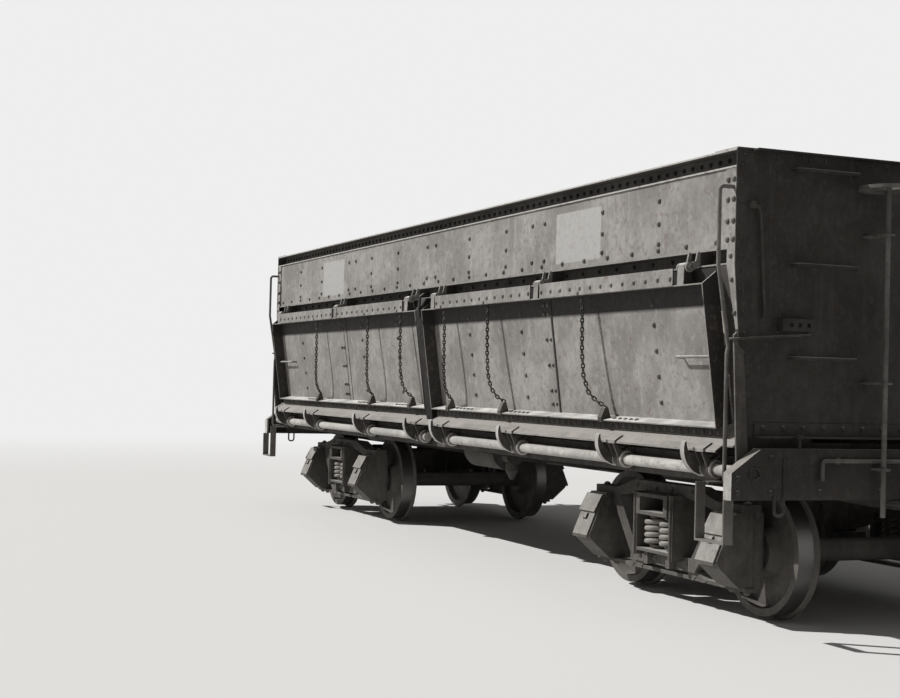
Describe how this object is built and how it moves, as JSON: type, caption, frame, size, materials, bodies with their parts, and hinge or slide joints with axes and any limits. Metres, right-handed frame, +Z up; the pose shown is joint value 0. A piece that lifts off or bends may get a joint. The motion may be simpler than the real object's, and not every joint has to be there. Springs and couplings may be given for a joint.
{
  "type": "side-discharge open hopper wagon",
  "caption": "Open steel railway wagon on two trucks, with a ridged floor that sheds its load through top-hung side doors.",
  "frame": {"origin": "on the ground under the middle of the wagon, at the lowest point of the wheel flanges", "axes": "+X along the track towards the front end, +Y to the left side, +Z up"},
  "size_m": [10.7, 3.138, 2.918],
  "materials": {
    "side_paint": "weathered matt paint with rust and dust",
    "end_paint": "weathered matt paint",
    "floor_plate": "scoured rusty plate",
    "frame_paint": "dusty matt paint",
    "bar_paint": "worn paint",
    "worn_bar": "bare bar with dust",
    "chain": "rusty",
    "cast_iron": "rough casting",
    "truck_iron": "oily, dusty casting",
    "spring_steel": "dusty spring steel",
    "wheel_steel": "dull wheel with a bright tread"
  },
  "bodies": {
    "wagon_body": {"body_bolsters": "frame_paint", "brake_cylinder": "frame_paint", "brake_pipe": "frame_paint", "brake_reservoir": "frame_paint", "centre_sill": "frame_paint", "corner_posts": "side_paint", "coupler_knuckles": "cast_iron", "coupler_levers": "bar_paint", "couplers": "cast_iron", "cross_frames": "frame_paint", "end_grab_irons": "end_paint", "end_sheets": "end_paint", "end_sills": "end_paint", "floor_left": "floor_plate", "floor_right": "floor_plate", "hand_brake": "bar_paint", "handrails": "bar_paint", "hinge_rails": "side_paint", "mid_posts": "side_paint", "shaft_bearings": "cast_iron", "side_sheets": "side_paint", "side_sills": "frame_paint", "stirrup_steps": "bar_paint", "top_chords": "side_paint"},
    "truck_front": {"truck_front_bolster": "truck_iron", "truck_front_brake_gear": "truck_iron", "truck_front_journal_boxes": "truck_iron", "truck_front_side_frames": "truck_iron", "truck_front_springs": "spring_steel"},
    "wheelset_front_outer": {"wheelset_front_outer": "wheel_steel"},
    "wheelset_front_inner": {"wheelset_front_inner": "wheel_steel"},
    "truck_rear": {"truck_rear_bolster": "truck_iron", "truck_rear_brake_gear": "truck_iron", "truck_rear_journal_boxes": "truck_iron", "truck_rear_side_frames": "truck_iron", "truck_rear_springs": "spring_steel"},
    "wheelset_rear_outer": {"wheelset_rear_outer": "wheel_steel"},
    "wheelset_rear_inner": {"wheelset_rear_inner": "wheel_steel"},
    "door_right_front": {"door_right_front": "side_paint", "door_chains_right_front": "chain"},
    "lock_right_front": {"lock_shaft_right_front": "worn_bar"},
    "door_right_rear": {"door_right_rear": "side_paint", "door_chains_right_rear": "chain"},
    "lock_right_rear": {"lock_shaft_right_rear": "worn_bar"},
    "door_left_front": {"door_left_front": "side_paint", "door_chains_left_front": "chain"},
    "lock_left_front": {"lock_shaft_left_front": "worn_bar"},
    "door_left_rear": {"door_left_rear": "side_paint", "door_chains_left_rear": "chain"},
    "lock_left_rear": {"lock_shaft_left_rear": "worn_bar"}
  },
  "joints": [
    {"name": "truck_front_swivel", "type": "hinge", "parent": "wagon_body", "child": "truck_front", "pos_m": [3.4, 0, 0.745], "axis": [0, 0, 1], "range_deg": [-5, 5]},
    {"name": "wheelset_front_outer_roll", "type": "hinge", "parent": "truck_front", "child": "wheelset_front_outer", "pos_m": [4.238, 0, 0.444], "axis": [0, 1, 0], "continuous": true},
    {"name": "wheelset_front_inner_roll", "type": "hinge", "parent": "truck_front", "child": "wheelset_front_inner", "pos_m": [2.562, 0, 0.444], "axis": [0, 1, 0], "continuous": true},
    {"name": "truck_rear_swivel", "type": "hinge", "parent": "wagon_body", "child": "truck_rear", "pos_m": [-3.4, 0, 0.745], "axis": [0, 0, 1], "range_deg": [-5, 5]},
    {"name": "wheelset_rear_outer_roll", "type": "hinge", "parent": "truck_rear", "child": "wheelset_rear_outer", "pos_m": [-4.238, 0, 0.444], "axis": [0, 1, 0], "continuous": true},
    {"name": "wheelset_rear_inner_roll", "type": "hinge", "parent": "truck_rear", "child": "wheelset_rear_inner", "pos_m": [-2.562, 0, 0.444], "axis": [0, 1, 0], "continuous": true},
    {"name": "door_right_front_swing", "type": "hinge", "parent": "wagon_body", "child": "door_right_front", "pos_m": [2.359, -1.52, 2.22], "axis": [-1, 0, 0], "range_deg": [0, 60]},
    {"name": "lock_right_front_turn", "type": "hinge", "parent": "wagon_body", "child": "lock_right_front", "pos_m": [2.4, -1.385, 0.987], "axis": [1, 0, 0], "range_deg": [0, 95]},
    {"name": "door_right_rear_swing", "type": "hinge", "parent": "wagon_body", "child": "door_right_rear", "pos_m": [-2.359, -1.52, 2.22], "axis": [-1, 0, 0], "range_deg": [0, 60]},
    {"name": "lock_right_rear_turn", "type": "hinge", "parent": "wagon_body", "child": "lock_right_rear", "pos_m": [-2.4, -1.385, 0.987], "axis": [1, 0, 0], "range_deg": [0, 95]},
    {"name": "door_left_front_swing", "type": "hinge", "parent": "wagon_body", "child": "door_left_front", "pos_m": [2.359, 1.52, 2.22], "axis": [1, 0, 0], "range_deg": [0, 60]},
    {"name": "lock_left_front_turn", "type": "hinge", "parent": "wagon_body", "child": "lock_left_front", "pos_m": [2.4, 1.385, 0.987], "axis": [-1, 0, 0], "range_deg": [0, 95]},
    {"name": "door_left_rear_swing", "type": "hinge", "parent": "wagon_body", "child": "door_left_rear", "pos_m": [-2.359, 1.52, 2.22], "axis": [1, 0, 0], "range_deg": [0, 60]},
    {"name": "lock_left_rear_turn", "type": "hinge", "parent": "wagon_body", "child": "lock_left_rear", "pos_m": [-2.4, 1.385, 0.987], "axis": [-1, 0, 0], "range_deg": [0, 95]}
  ]
}
